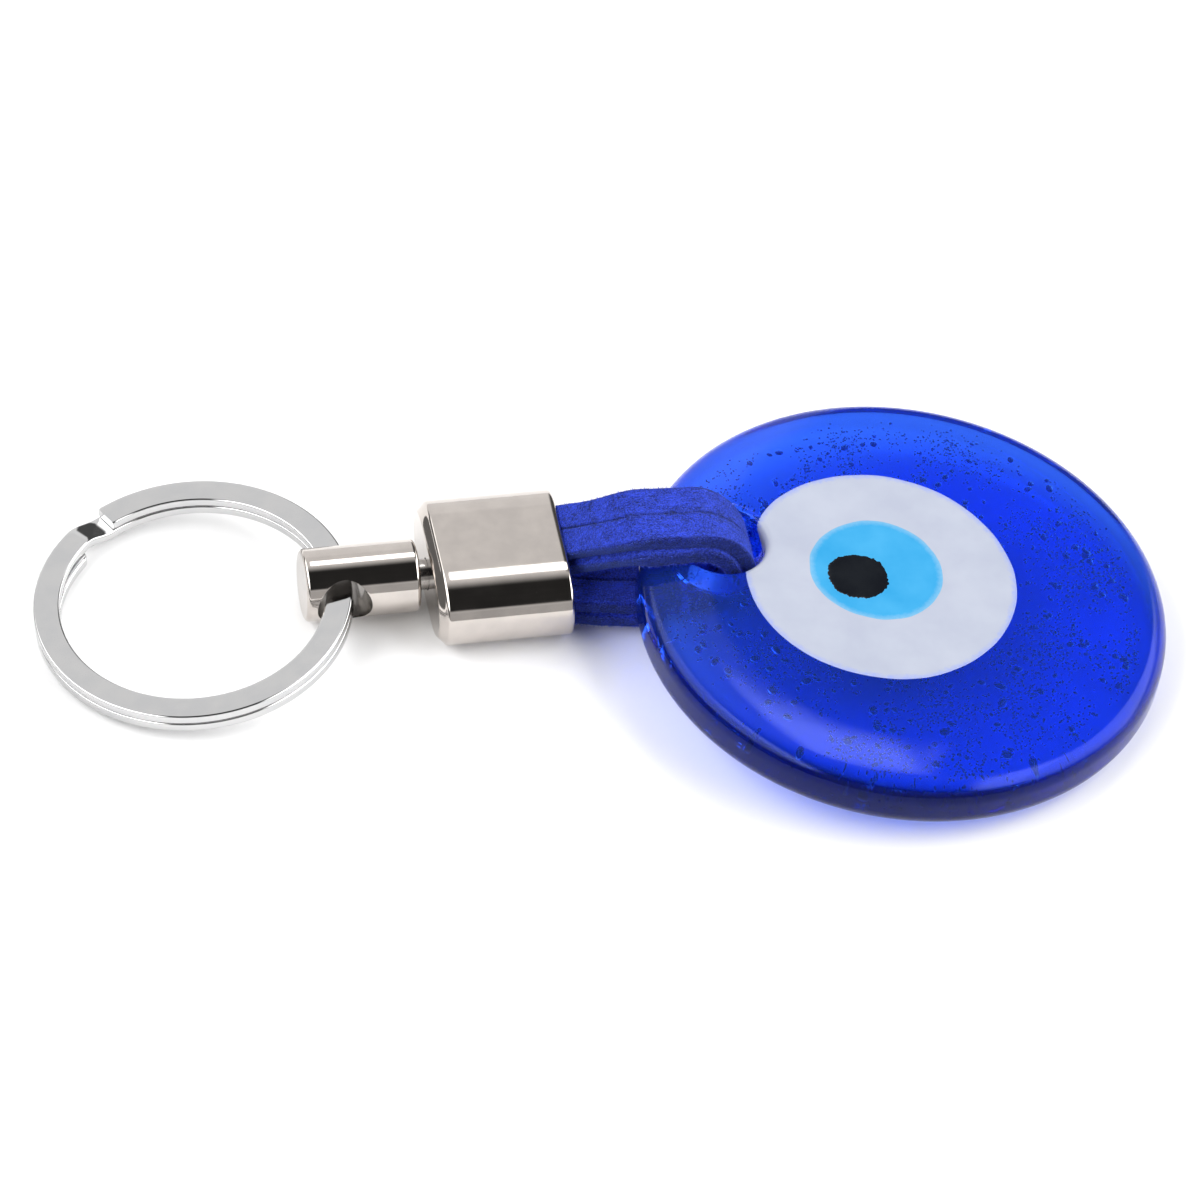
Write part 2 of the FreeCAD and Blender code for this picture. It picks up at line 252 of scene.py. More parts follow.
class Nodes:
    """Short names for building one node tree."""

    def __init__(self, name):
        self.material = bpy.data.materials.new(name)
        self.material.use_nodes = True
        self.tree = self.material.node_tree
        self.tree.nodes.clear()
        self.out = self.tree.nodes.new("ShaderNodeOutputMaterial")
        self.shader = self.tree.nodes.new("ShaderNodeBsdfPrincipled")
        self.link(self.shader.outputs["BSDF"], self.out.inputs["Surface"])

    def link(self, source, target):
        self.tree.links.new(source, target)

    def put(self, value, socket):
        if isinstance(value, bpy.types.NodeSocket):
            self.link(value, socket)
        else:
            socket.default_value = value

    def coords(self, scale):
        place = self.tree.nodes.new("ShaderNodeTexCoord")
        stretch = self.tree.nodes.new("ShaderNodeMapping")
        stretch.inputs["Scale"].default_value = scale
        self.link(place.outputs["Object"], stretch.inputs["Vector"])
        return stretch.outputs["Vector"]

    def noise(self, size_mm, detail=2.0, rough=0.5, stretch=(1, 1, 1), distort=0.0):
        node = self.tree.nodes.new("ShaderNodeTexNoise")
        node.inputs["Scale"].default_value = 1 / (size_mm * MM)
        node.inputs["Detail"].default_value = detail
        node.inputs["Roughness"].default_value = rough
        node.inputs["Distortion"].default_value = distort
        self.link(self.coords(stretch), node.inputs["Vector"])
        return node.outputs["Fac"]

    def spread(self, value, low, high, to_low=0.0, to_high=1.0):
        node = self.tree.nodes.new("ShaderNodeMapRange")
        node.inputs["From Min"].default_value = low
        node.inputs["From Max"].default_value = high
        node.inputs["To Min"].default_value = to_low
        node.inputs["To Max"].default_value = to_high
        self.link(value, node.inputs["Value"])
        return node.outputs["Result"]

    def mix(self, factor, a, b):
        node = self.tree.nodes.new("ShaderNodeMix")
        node.data_type = "RGBA"
        self.put(factor, node.inputs[0])
        self.put(a, node.inputs[6])
        self.put(b, node.inputs[7])
        return node.outputs[2]

    def math(self, kind, a, b=0.0):
        node = self.tree.nodes.new("ShaderNodeMath")
        node.operation = kind
        self.put(a, node.inputs[0])
        self.put(b, node.inputs[1])
        return node.outputs[0]

    def attribute(self, name):
        node = self.tree.nodes.new("ShaderNodeAttribute")
        node.attribute_name = name
        return node.outputs["Fac"]

    def bump(self, height, depth_mm, strength=1.0, below=None):
        node = self.tree.nodes.new("ShaderNodeBump")
        node.inputs["Strength"].default_value = strength
        node.inputs["Distance"].default_value = depth_mm * MM
        self.link(height, node.inputs["Height"])
        if below:
            self.link(below, node.inputs["Normal"])
        return node.outputs["Normal"]

    def set(self, **values):
        for name, value in values.items():
            self.put(value, self.shader.inputs[name.replace("_", " ")])


def metal(name, dark, light, low_rough, high_rough, along=(1, 1, 1)):
    """Bright plated metal: faint blotches in its colour, fine polishing lines and a slight waviness."""
    n = Nodes(name)
    blotch = n.noise(2.2, 3.0)
    n.set(Metallic=1.0)
    n.set(Base_Color=n.mix(n.spread(blotch, 0.35, 0.65), dark + (1,), light + (1,)))
    lines = n.noise(0.25, 3.0, 0.6, along)
    wear = n.math("ADD", n.math("MULTIPLY", blotch, 0.5), n.math("MULTIPLY", lines, 0.5))
    n.set(Roughness=n.spread(wear, 0.35, 0.65, low_rough, high_rough))
    wave = n.noise(1.6, 1.0)
    n.set(Normal=n.bump(lines, 0.0012, 0.4, n.bump(wave, 0.006, 0.35)))
    return n.material


def suede():
    n = Nodes("blue_suede")
    nap = n.noise(0.15, 2.0, 0.75)
    patches = n.noise(1.6, 3.0, 0.6)
    strands = n.noise(0.4, 2.0, 0.6, (0.3, 1, 1), distort=0.6)
    side = n.attribute("cut_side")
    coarse = n.math("ADD", n.math("MULTIPLY", patches, 0.2), n.math("MULTIPLY", strands, 0.2))
    tone = n.math("ADD", n.math("MULTIPLY", nap, 0.6), coarse)
    light = n.spread(tone, 0.42, 0.58)
    face = n.mix(light, (0.002, 0.005, 0.08, 1), (0.022, 0.052, 0.62, 1))
    edge = n.mix(light, (0.002, 0.004, 0.04, 1), (0.011, 0.022, 0.24, 1))
    n.set(Base_Color=n.mix(side, face, edge), Roughness=0.95, Sheen_Weight=0.35, Sheen_Roughness=0.5)
    n.set(Sheen_Tint=(0.25, 0.4, 1.0, 1), Specular_IOR_Level=0.15)
    n.set(Normal=n.bump(tone, 0.3, 0.9))
    return n.material


def suede_fibre():
    n = Nodes("suede_fibre")
    tone = n.spread(n.noise(0.5), 0.35, 0.65)
    n.set(Base_Color=n.mix(tone, (0.015, 0.03, 0.30, 1), (0.08, 0.14, 0.85, 1)))
    n.set(Roughness=0.9, Sheen_Weight=0.2, Specular_IOR_Level=0.1)
    return n.material


def cobalt_glass():
    """Clear cobalt glass. Its colour is darkened at the rim with painted shade, for the light's long path through the
    rim, most at the front.
    """
    n = Nodes("cobalt_glass")
    # the rim attribute mixes painted shade, a near-black navy, into the glass colour
    n.set(Base_Color=n.mix(n.attribute("rim"), (0.07, 0.235, 1.0, 1), (0.003, 0.005, 0.045, 1)))
    n.set(Transmission_Weight=0.94, IOR=1.42, Specular_Tint=(0.30, 0.40, 1.0, 1), Specular_IOR_Level=0.2)
    smear = n.noise(3.0, 3.0, 0.6)
    n.set(Roughness=n.spread(smear, 0.35, 0.7, 0.0, 0.03))
    n.set(Normal=n.bump(n.noise(5.0, 1.0), 0.05, 0.35))
    soak = n.tree.nodes.new("ShaderNodeVolumeAbsorption")
    soak.inputs["Color"].default_value = (0.0, 0.40, 1.0, 1)
    soak.inputs["Density"].default_value = 120.0
    n.link(soak.outputs["Volume"], n.out.inputs["Volume"])
    return n.material


# bubble walls tint the light through them dark blue: painted shade for the dark look of air bubbles in glass
def bubble_glass(name, painted_shade_tint):
    n = Nodes(name)
    n.set(Base_Color=painted_shade_tint + (1,), Transmission_Weight=1.0, IOR=1.5, Roughness=0.0)
    return n.material


def drop_glass(name, dark, light, rim, rim_start, grain_mm):
    """Opaque glass: a slight cloudiness, and a border that blends into the glass around it."""
    n = Nodes(name)
    cloud = n.noise(4.0, 3.0, 0.55)
    ragged = n.noise(grain_mm, 2.0, 0.6)
    body = n.mix(n.spread(cloud, 0.3, 0.7), dark + (1,), light + (1,))
    fray = n.math("MULTIPLY", n.math("SUBTRACT", ragged, 0.5), 0.07)
    edge = n.math("ADD", n.attribute("from_middle"), fray)
    n.set(Base_Color=n.mix(n.spread(edge, rim_start, 1.0), body, rim + (1,)))
    n.set(Roughness=n.spread(cloud, 0.3, 0.7, 0.10, 0.2))
    n.set(Coat_Weight=0.1, Coat_Roughness=0.03, Specular_IOR_Level=0.3)
    n.set(Normal=n.bump(n.noise(2.5, 1.0), 0.02, 0.3))
    return n.material


def glue():
    n = Nodes("amber_glue")
    n.set(Base_Color=n.mix(n.noise(1.2, 3.0), (0.10, 0.06, 0.03, 1), (0.30, 0.2, 0.1, 1)), Roughness=0.35)
    n.set(Normal=n.bump(n.noise(0.8, 3.0), 0.15, 0.6))
    return n.material


CHROME = metal("chrome", (0.555, 0.555, 0.56), (0.585, 0.58, 0.58), 0.04, 0.09)
NICKEL = metal("nickel", (0.51, 0.47, 0.44), (0.56, 0.515, 0.48), 0.04, 0.10, (0.05, 1, 1))
SUEDE = suede()
FIBRE = suede_fibre()
GLASS = cobalt_glass()
BUBBLE_PAINTED_SHADE = bubble_glass("bubble_wall_painted_shade", (0.03, 0.04, 0.30))
TINY_BUBBLE_PAINTED_SHADE = bubble_glass("tiny_bubble_wall_painted_shade", (0.006, 0.01, 0.12))
WHITE = drop_glass(
    "white_drop", (0.345, 0.37, 0.45), (0.38, 0.405, 0.48), rim=(0.25, 0.30, 0.58), rim_start=0.955, grain_mm=0.5)
IRIS = drop_glass(
    "light_blue_drop", (0.030, 0.265, 0.52), (0.048, 0.305, 0.56), rim=(0.20, 0.39, 0.55), rim_start=0.86, grain_mm=0.4)
PUPIL = drop_glass(
    "pupil_drop", (0.004, 0.005, 0.008), (0.007, 0.009, 0.012), rim=(0.015, 0.07, 0.12), rim_start=0.95, grain_mm=0.25)
GLUE = glue()
# darker, rougher metal: painted shade inside the cross hole and on the rivet's neck in the gap to the cap
RECESS_SHADE_METAL = metal("recess_metal_painted_shade", (0.30, 0.285, 0.27), (0.42, 0.40, 0.38), 0.12, 0.25)


# ---- split ring ----


def build_ring():
    level = (RING_THICKNESS - WIRE_THICKNESS) / 2
    travel = 2 * UPPER_TURN + CRANK_TURN
    end_turn = math.degrees(END_ROUND / RING_MEAN_R)
    stops = [travel * i / RING_STATIONS for i in range(RING_STATIONS)]
    stops = [s for s in stops if s < travel - end_turn]
    stops += [travel - end_turn * (1 - math.sin(math.pi / 2 * k / 8)) for k in range(9)]
    points = []
    for s in stops:
        down = ease((s - UPPER_TURN) / CRANK_TURN)
        crank_in = CRANK_SPRING_IN * down * (1 - ease((s - UPPER_TURN - CRANK_TURN) / CRANK_SETTLE))
        end_in = END_SPRING_IN * ease((s - travel + END_SETTLE) / END_SETTLE)
        left = min((travel - s) / end_turn, 1.0)
        shrink = math.sqrt(max(1 - (1 - left) ** 2, 0.05))
        if s < 0.5:
            shrink = 0.94
        half_h = WIRE_THICKNESS / 2 * (0.75 + 0.25 * shrink)
        outline = round_box(WIRE_WIDTH / 2 * shrink, half_h, WIRE_EDGE * min(1.0, shrink * 2), flats=6)
        radius = RING_MEAN_R - crank_in - end_in
        a = math.radians(UPPER_END_ANGLE - s)
        z = level * (1 - 2 * down)
        for across, high in outline:
            points.append(Vector(((radius + across) * math.cos(a), (radius + across) * math.sin(a), z + high)))
    cols = len(outline)
    faces = grid_faces(len(stops), cols)
    close_ends(points, faces, len(stops), cols)
    lean = Matrix.Rotation(-RING_LEAN, 3, "Y")
    centre = Vector((RING_SHIFT - RING_MEAN_R * math.cos(RING_LEAN), 0,
                     (RING_MEAN_R + WIRE_WIDTH / 2) * math.sin(RING_LEAN) + RING_THICKNESS / 2 * math.cos(RING_LEAN)))
    obj = add_mesh("ring_coil", [lean @ p + centre for p in points], faces, CHROME, "ring")
    face_outwards(obj)
    obj.data.set_sharp_from_angle(angle=math.radians(50))
    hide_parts("split_ring")


# ---- swivel ----


def lathe_x(name, profile, segments, material):
    """Turns a profile of (x, radius) about the swivel's axis. A radius of 0 closes an end."""
    points = []
    for x, r in profile:
        for k in range(segments):
            a = 2 * math.pi * k / segments
            points.append((x, r * math.cos(a), SWIVEL_Z + r * math.sin(a)))
    obj = add_mesh(name, points, grid_faces(len(profile), segments), material, "swivel")
    face_outwards(obj, weld=True)
    return obj


def arc_profile(cx, cr, r, start, end, steps):
    profile = []
    for k in range(steps + 1):
        a = math.radians(start + (end - start) * k / steps)
        profile.append((cx + r * math.cos(a), cr + r * math.sin(a)))
    return profile


def cross_hole_cutter():
    cols = 128
    rows = 12
    points = []
    for i in range(rows + 1):
        for k in range(cols):
            a = 2 * math.pi * k / cols
            points.append((CROSS_HOLE_R * math.cos(a), -5 + 10 * i / rows, SWIVEL_Z + CROSS_HOLE_R * math.sin(a)))
    faces = grid_faces(rows + 1, cols) + [tuple(range(cols)), tuple(range(rows * cols, (rows + 1) * cols))]
    cutter = add_mesh("cutter", points, faces, NICKEL, None)
    face_outwards(cutter)
    return cutter


def build_barrel():
    e = BARREL_EDGE
    length = BARREL_RIGHT - BARREL_LEFT - 2 * e
    profile = [(BARREL_LEFT, 0.0), (BARREL_LEFT, BARREL_R - e - 0.4)]
    profile += arc_profile(BARREL_LEFT + e, BARREL_R - e, e, 180, 90, 7)
    profile += [(BARREL_LEFT + e + length * k / BARREL_STATIONS, BARREL_R) for k in range(1, BARREL_STATIONS)]
    profile += arc_profile(BARREL_RIGHT - e, BARREL_R - e, e, 90, 0, 7)
    profile += [(BARREL_RIGHT, RIVET_R + 0.3), (BARREL_RIGHT, RIVET_R + 0.02), (BARREL_RIGHT - 0.3, RIVET_R)]
    profile += [(RIVET_BORE_END, RIVET_R), (RIVET_BORE_END, 0.0)]
    obj = lathe_x("barrel_shell", profile, 192, NICKEL)
    cutter = cross_hole_cutter()
    cut = obj.modifiers.new("cross_hole", "BOOLEAN")
    cut.operation = "DIFFERENCE"
    cut.object = cutter
    cut.solver = "EXACT"
    edge = obj.modifiers.new("edge", "BEVEL")
    edge.limit_method = "ANGLE"
    edge.angle_limit = math.radians(35)
    edge.width = CROSS_HOLE_EDGE * MM
    edge.segments = 3
    bpy.context.view_layer.update()
    done = bpy.data.meshes.new_from_object(obj.evaluated_get(bpy.context.evaluated_depsgraph_get()))
    obj.modifiers.clear()
    obj.data = done
    bpy.data.objects.remove(cutter)
    # faces inside the cross hole get the darker metal of painted shade
    obj.data.materials.append(RECESS_SHADE_METAL)
    for polygon in obj.data.polygons:
        c = polygon.center / MM - ORIGIN
        in_hole = math.hypot(c.x, c.z - SWIVEL_Z) < CROSS_HOLE_R - 0.0005
        if in_hole and math.hypot(c.y, c.z - SWIVEL_Z) < BARREL_R - 0.1:
            polygon.material_index = 1
    obj.data.polygons.foreach_set("use_smooth", [True] * len(obj.data.polygons))
    obj.data.set_sharp_from_angle(angle=math.radians(60))
    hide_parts("swivel_barrel")


def build_rivet():
    neck_start = 3.7
    head = CAP_LEFT + CAP_END_WALL + 0.1
    profile = [(RIVET_START, 0.0), (RIVET_START, RIVET_R - 0.05)]
    profile += [(neck_start + (head - neck_start) * k / 12, RIVET_R - 0.04) for k in range(13)]
    profile += [(head, 2.5)] + arc_profile(head + 0.35, 1.85, 0.75, 90, 0, 6) + [(head + 1.1, 0.0)]
    # the rivet is all in the darker metal of painted shade
    rivet = lathe_x("rivet_body", profile, 96, RECESS_SHADE_METAL)
    rivet.data.set_sharp_from_angle(angle=math.radians(50))
    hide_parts("swivel_rivet")


# ---- end cap ----


def cap_outline():
    """Points and outward directions round the cap's section. Its round sides run into the flat faces gradually."""
    extra = CAP_SOFTNESS
    base = CAP_HEIGHT / 2 - extra / 9
    steps = 72

    def radius(a):
        return base + extra * abs(math.cos(a)) ** 8

    side = []
    y = z = 0.0
    fine = 20
    for k in range(steps + 1):
        a = math.pi * k / steps
        side.append((y, z, a))
        for i in range(fine):
            b = a + math.pi / steps * (i + 0.5) / fine
            y += radius(b) * math.cos(b) * math.pi / steps / fine
            z -= radius(b) * math.sin(b) * math.pi / steps / fine
    bulge = max(p[0] for p in side)
    flat = CAP_WIDTH / 2 - bulge
    top = SWIVEL_Z + CAP_HEIGHT / 2
    front = [(Vector((0, -(flat + p[0]), top + p[1])), Vector((0, -math.sin(p[2]), math.cos(p[2])))) for p in side]
    back = [(Vector((0, p[0].y * -1, p[0].z)), Vector((0, -p[1].y, p[1].z))) for p in reversed(front)]
    across = 10
    under = [(front[-1][0].lerp(back[0][0], k / across), Vector((0, 0, -1))) for k in range(1, across)]
    over = [(back[-1][0].lerp(front[0][0], k / across), Vector((0, 0, 1))) for k in range(1, across)]
    return front + under + back + over


def cap_rows():
    """The cap's wall as (x, distance inside the outline): the end face, the outside, the lip and back along the inside."""
    nose = 0.14
    body_start = CAP_LEFT + CAP_SHOULDER + 0.16
    shoulder_r = 0.5
    lip_r = 0.3
    lip_x = CAP_RIGHT - lip_r
    body_rows = 30
    rows = [(CAP_LEFT, 2.1), (CAP_LEFT, CAP_SHOULDER + 0.25)]
    for k in range(5):
        a = math.radians(180 - 45 * k / 4)
        rows.append((CAP_LEFT + nose + nose * math.cos(a), CAP_SHOULDER + nose * 0.8 - nose * math.sin(a) * 1.1))
    for k in range(1, 5):
        t = k / 5
        rows.append((CAP_LEFT + 0.08 + (CAP_SHOULDER - 0.2) * t, CAP_SHOULDER - 0.06 - (CAP_SHOULDER - 0.16) * t))
    for k in range(5):
        a = math.radians(135 - 45 * k / 4)
        rows.append((body_start + shoulder_r * math.cos(a), shoulder_r - shoulder_r * math.sin(a)))
    for k in range(1, body_rows + 1):
        rows.append((body_start + (lip_x - body_start) * k / body_rows, 0.0))
    for k in range(1, 9):
        a = math.radians(90 - 22.5 * k)
        rows.append((lip_x + lip_r * math.cos(a), lip_r - lip_r * math.sin(a)))
    rows += [(lip_x - 0.4, 0.66), (lip_x - 1.2, 0.74)]
    rows += [(CAP_LEFT + CAP_END_WALL + 0.3, CAP_WALL), (CAP_LEFT + CAP_END_WALL, CAP_WALL + 0.3)]
    rows.append((CAP_LEFT + CAP_END_WALL, 2.3))
    return rows


def build_cap():
    outline = cap_outline()
    rows = cap_rows()
    points = []
    for x, inset in rows:
        for p, normal in outline:
            q = p - normal * inset
            points.append(Vector((x, q.y, q.z)))
    cols = len(outline)
    faces = grid_faces(len(rows), cols)
    # the end wall closes on the rivet's hole
    rivet_hole_r = RIVET_R + 0.06
    first = len(points)
    for x in (CAP_LEFT, CAP_LEFT + CAP_END_WALL):
        for p, _ in outline:
            a = math.atan2(p.z - SWIVEL_Z, p.y)
            points.append(Vector((x, rivet_hole_r * math.cos(a), SWIVEL_Z + rivet_hole_r * math.sin(a))))
    last_row = (len(rows) - 1) * cols
    for j in range(cols):
        k = (j + 1) % cols
        faces.append((j, first + j, first + k, k))
        faces.append((last_row + j, last_row + k, first + cols + k, first + cols + j))
        faces.append((first + j, first + cols + j, first + cols + k, first + k))
    obj = add_mesh("cap_shell", points, faces, NICKEL, "cap")
    face_outwards(obj)
    obj.data.set_sharp_from_angle(angle=math.radians(55))
    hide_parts("end_cap")
    glue_materials = frame["nodes"]["glue_plug"].data.materials
    glue_materials.clear()
    glue_materials.append(GLUE)


# ---- glass disc ----

DISC_TURN = Matrix.Rotation(DISC_LEAN_X, 3, "X") @ Matrix.Rotation(DISC_LEAN_Y, 3, "Y")
UPRIGHT = math.cos(DISC_LEAN_X) * math.cos(DISC_LEAN_Y)
DISC_MIDDLE = Vector((DISC_X, DISC_Y, (DISC_R - RIM_R) * math.sqrt(1 - UPRIGHT**2) + (DISC_TOP - RIM_R) * UPRIGHT + RIM_R))
FLAT_R = DISC_R - RIM_R - (SHOULDER_R - RIM_R) * math.sin(SHOULDER_ANGLE)
JOIN_R = DISC_R - RIM_R + RIM_R * math.sin(SHOULDER_ANGLE)


def on_disc(u, v, w):
    return DISC_TURN @ Vector((u, v, w)) + DISC_MIDDLE


def top_height(u, v):
    """The disc's top: flat, then a shallow dome towards the rim, with the slight waves of hand-poured glass."""
    rho = math.hypot(u, v)
    drop = 0.0
    if rho > FLAT_R:
        drop = SHOULDER_R - math.sqrt(max(SHOULDER_R**2 - (rho - FLAT_R) ** 2, 0.0))
    wave = noise.noise(Vector((u / 9.0, v / 9.0, 3.7))) + 0.4 * noise.noise(Vector((u / 3.5, v / 3.5, 8.1)))
    fade = ease((JOIN_R - rho) / 4)
    return DISC_TOP - drop + (0.035 * wave - 0.03) * fade


def build_disc():
    cols = 288
    rows = []
    rim = []

    def circle(cx, cy, r, height, edge=0.0):
        """A row of points. Its height is a function of place, and its edge says how much painted rim shade it has."""
        ring = []
        for k in range(cols):
            # painted rim shade is full at the front of the disc and about a third as strong at the back
            rim.append(edge * (0.65 - 0.35 * math.sin(2 * math.pi * k / cols)))
            a = 2 * math.pi * k / cols
            u = cx + r * math.cos(a)
            v = cy + r * math.sin(a)
            ring.append((u, v, height(u, v)))
        rows.append(ring)

    def between(t, r_in, r_out):
        return HOLE.x * (1 - t), HOLE.y * (1 - t), r_in + (r_out - r_in) * t

    def mouth(a, height):
        circle(HOLE.x, HOLE.y, MOUTH_R - HOLE_EDGE * math.cos(a), height)

    for k in range(7):
        w = -DISC_TOP + HOLE_EDGE + (2 * DISC_TOP - 2 * HOLE_EDGE) * k / 6
        circle(HOLE.x, HOLE.y, HOLE_R, lambda u, v, w=w: w)
    for k in range(1, 7):
        a = math.pi / 2 * k / 6
        mouth(a, lambda u, v, a=a: top_height(u, v) - HOLE_EDGE * (1 - math.sin(a)))
    top_rows = 74
    for k in range(1, top_rows):
        circle(*between(k / top_rows, MOUTH_R, JOIN_R), top_height)
    for k in range(11):
        a = SHOULDER_ANGLE + (math.pi / 2 - SHOULDER_ANGLE) * k / 10
        w = DISC_TOP - SHOULDER_DROP - RIM_R + RIM_R * math.cos(a)
        # painted rim shade, from none on the shoulder to full on the rim's side
        dark = ease((math.degrees(a) - 25) / 40)
        circle(0, 0, DISC_R - RIM_R + RIM_R * math.sin(a), lambda u, v, w=w: w, dark)
    low_rim = RIM_R - DISC_TOP
    for k in range(11):
        a = math.pi / 2 + math.pi / 2 * k / 10
        w = low_rim + RIM_R * math.cos(a)
        # painted rim shade, full on the rim's side and fading to none underneath
        dark = 1 - ease((math.degrees(a) - 150) / 30)
        circle(0, 0, DISC_R - RIM_R + RIM_R * math.sin(a), lambda u, v, w=w: w, dark)
    under_rows = 26
    for k in range(1, under_rows):
        circle(*between(1 - k / under_rows, MOUTH_R, DISC_R - RIM_R), lambda u, v: -DISC_TOP)
    for k in range(6):
        a = math.pi / 2 * (1 - k / 6)
        mouth(a, lambda u, v, a=a: -DISC_TOP + HOLE_EDGE * (1 - math.sin(a)))
    points = [on_disc(*p) for ring in rows for p in ring]
    obj = add_mesh("glass_body", points, grid_faces(len(rows), cols, close_rows=True), GLASS, "disc")
    set_float(obj, "rim", rim)
    face_outwards(obj)
    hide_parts("glass_disc")


def drape(u, v, offset):
    """A point this far out of the disc's top, also where the top turns down into the hole. Below 0 it is in the glass."""
    away = Vector((u, v)) - HOLE
    reach = MOUTH_R - away.length
    if reach <= 0:
        return on_disc(u, v, top_height(u, v) + offset)
    out = away.normalized()
    edge = HOLE + out * MOUTH_R
    height = top_height(edge.x, edge.y)
    a = min(reach / HOLE_EDGE, math.pi / 2)
    down = max(reach - HOLE_EDGE * math.pi / 2, 0.0)
    flat = HOLE + out * (MOUTH_R - (HOLE_EDGE + offset) * math.sin(a))
    return on_disc(flat.x, flat.y, height - HOLE_EDGE + (HOLE_EDGE + offset) * math.cos(a) - down)


def build_drop(name, node, middle, radius_at, depth, lift, material, rings, cols=DROP_COLS):
    """A drop of opaque glass let into the disc: its top follows the disc's top, and its underside is a shallow bowl."""
    bowl_rows = 14
    points = []
    shares = []

    def loop(f, offset):
        for j in range(cols):
            a = 2 * math.pi * j / cols
            r = radius_at(a) * f
            points.append(drape(middle.x + r * math.cos(a), middle.y + r * math.sin(a), offset))

    for k in range(1, rings + 1):
        f = 1 - (1 - k / rings) ** 1.35
        loop(f, lift * math.sqrt(max(1 - f**16, 0.0)))
        shares += [f] * cols
    for k in range(1, bowl_rows + 1):
        f = math.cos(math.pi / 2 * k / (bowl_rows + 1))
        loop(f, -depth * (1 - f**5) ** 0.5)
        shares += [1.0] * cols
    faces = grid_faces(rings + bowl_rows, cols)
    points.append(drape(middle.x, middle.y, lift))
    faces += fan(0, cols, len(points) - 1)
    points.append(drape(middle.x, middle.y, -depth))
    faces += fan((rings + bowl_rows - 1) * cols, cols, len(points) - 1)
    shares += [0.0, 1.0]
    obj = add_mesh(name, points, faces, material, "disc")
    set_float(obj, "from_middle", shares)
    face_outwards(obj)
    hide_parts(node)


def wobbly(radius, seed, sizes):
    """A round outline with waves of the given (count, height) round it."""
    def at(a):
        r = radius
        for count, height in sizes:
            r += height * noise.noise(Vector((math.cos(a) * count / 3, math.sin(a) * count / 3, seed)))
        return r
    return at


def white_outline():
    """The white drop's radius all round. It has run out to the hole, so its round edge flares into the hole's mouth."""
    round_part = wobbly(12.95, 5.2, ((4, 0.3), (14, 0.05)))
    towards = (WHITE_MIDDLE - HOLE).normalized()
    lobe = HOLE + towards * 4.85
    lobe_half = 3.3
    lobe_reach = 1.7
    melt = 1.6

    def distance(p):
        """Below 0 inside the outline: the round part and the lobe at the hole, melted together."""
        arm = p - WHITE_MIDDLE
        f1 = arm.length - round_part(math.atan2(arm.y, arm.x))
        off = p - lobe
        along = off.dot(towards)
        beside = math.sqrt(max(off.length_squared - along**2, 0.0))
        f2 = math.hypot(along * lobe_half / lobe_reach, beside) - lobe_half
        h = min(max(0.5 + 0.5 * (f2 - f1) / melt, 0.0), 1.0)
        return f2 + (f1 - f2) * h - melt * h * (1 - h)

    def at(a):
        heading = Vector((math.cos(a), math.sin(a)))
        low, high = 8.0, 20.0
        steps = 60
        for k in range(steps):
            r = low + (high - low) * k / steps
            if distance(WHITE_MIDDLE + heading * r) > 0:
                low, high = r - (high - low) / steps, r
                break
        for k in range(20):
            r = (low + high) / 2
            if distance(WHITE_MIDDLE + heading * r) > 0:
                high = r
            else:
                low = r
        return low

    return [at(2 * math.pi * j / DROP_COLS) for j in range(DROP_COLS)]


def build_drops():
    white = white_outline()
    iris = wobbly(6.6, 2.9, ((3, 0.25), (12, 0.08)))
    pupil = wobbly(3.02, 7.3, ((5, 0.22), (30, 0.16), (70, 0.08)))
    build_drop("white_drop", "white_glass", WHITE_MIDDLE, lambda a: white[round(a / (2 * math.pi) * DROP_COLS) % DROP_COLS],
               depth=1.5, lift=0.035, material=WHITE, rings=44)
    build_drop("light_blue_drop", "light_blue_glass", Vector((-2.5, 2.35)), iris,
               depth=0.9, lift=0.050, material=IRIS, rings=24)
    build_drop("pupil_drop", "pupil_glass", Vector((-4.35, 1.65)), pupil,
               depth=0.5, lift=0.065, material=PUPIL, rings=16, cols=288)


def ball(detail):
    work = bmesh.new()
    bmesh.ops.create_icosphere(work, subdivisions=detail, radius=1.0)
    points = [v.co.copy() for v in work.verts]
    faces = [tuple(v.index for v in f.verts) for f in work.faces]
    work.free()
    return points, faces


